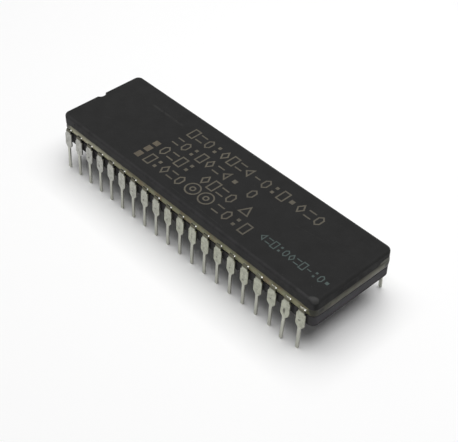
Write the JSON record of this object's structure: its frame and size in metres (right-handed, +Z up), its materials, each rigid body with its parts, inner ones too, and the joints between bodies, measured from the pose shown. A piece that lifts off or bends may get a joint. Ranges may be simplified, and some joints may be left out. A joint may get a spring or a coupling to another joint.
{
  "type": "microprocessor chip",
  "caption": "Microprocessor chip in a black ceramic dual in-line package: notched lid and base sealed with olive glass, two rows of formed tin-plated leads.",
  "frame": {"origin": "centre of the footprint at the height of the lead tips, which the part stands on", "axes": "+X along the body, away from the notched end; +Y across the body from the row of leads 1 to 20 to the row of leads 21 to 40; +Z up, from the lead tips to the lid"},
  "size_m": [0.0518, 0.0166, 0.0089],
  "materials": {
    "black_ceramic": "satin",
    "olive_glass": "gloss",
    "dull_tin": "satin",
    "silicon": "polished",
    "silver_glass": "matte"
  },
  "bodies": {
    "root": {"lid": "black_ceramic", "base": "black_ceramic", "sealing_glass": "olive_glass", "die": "silicon", "die_attach": "silver_glass", "lead_01": "dull_tin", "lead_02": "dull_tin", "lead_03": "dull_tin", "lead_04": "dull_tin", "lead_05": "dull_tin", "lead_06": "dull_tin", "lead_07": "dull_tin", "lead_08": "dull_tin", "lead_09": "dull_tin", "lead_10": "dull_tin", "lead_11": "dull_tin", "lead_12": "dull_tin", "lead_13": "dull_tin", "lead_14": "dull_tin", "lead_15": "dull_tin", "lead_16": "dull_tin", "lead_17": "dull_tin", "lead_18": "dull_tin", "lead_19": "dull_tin", "lead_20": "dull_tin", "lead_21": "dull_tin", "lead_22": "dull_tin", "lead_23": "dull_tin", "lead_24": "dull_tin", "lead_25": "dull_tin", "lead_26": "dull_tin", "lead_27": "dull_tin", "lead_28": "dull_tin", "lead_29": "dull_tin", "lead_30": "dull_tin", "lead_31": "dull_tin", "lead_32": "dull_tin", "lead_33": "dull_tin", "lead_34": "dull_tin", "lead_35": "dull_tin", "lead_36": "dull_tin", "lead_37": "dull_tin", "lead_38": "dull_tin", "lead_39": "dull_tin", "lead_40": "dull_tin"}
  },
  "joints": []
}
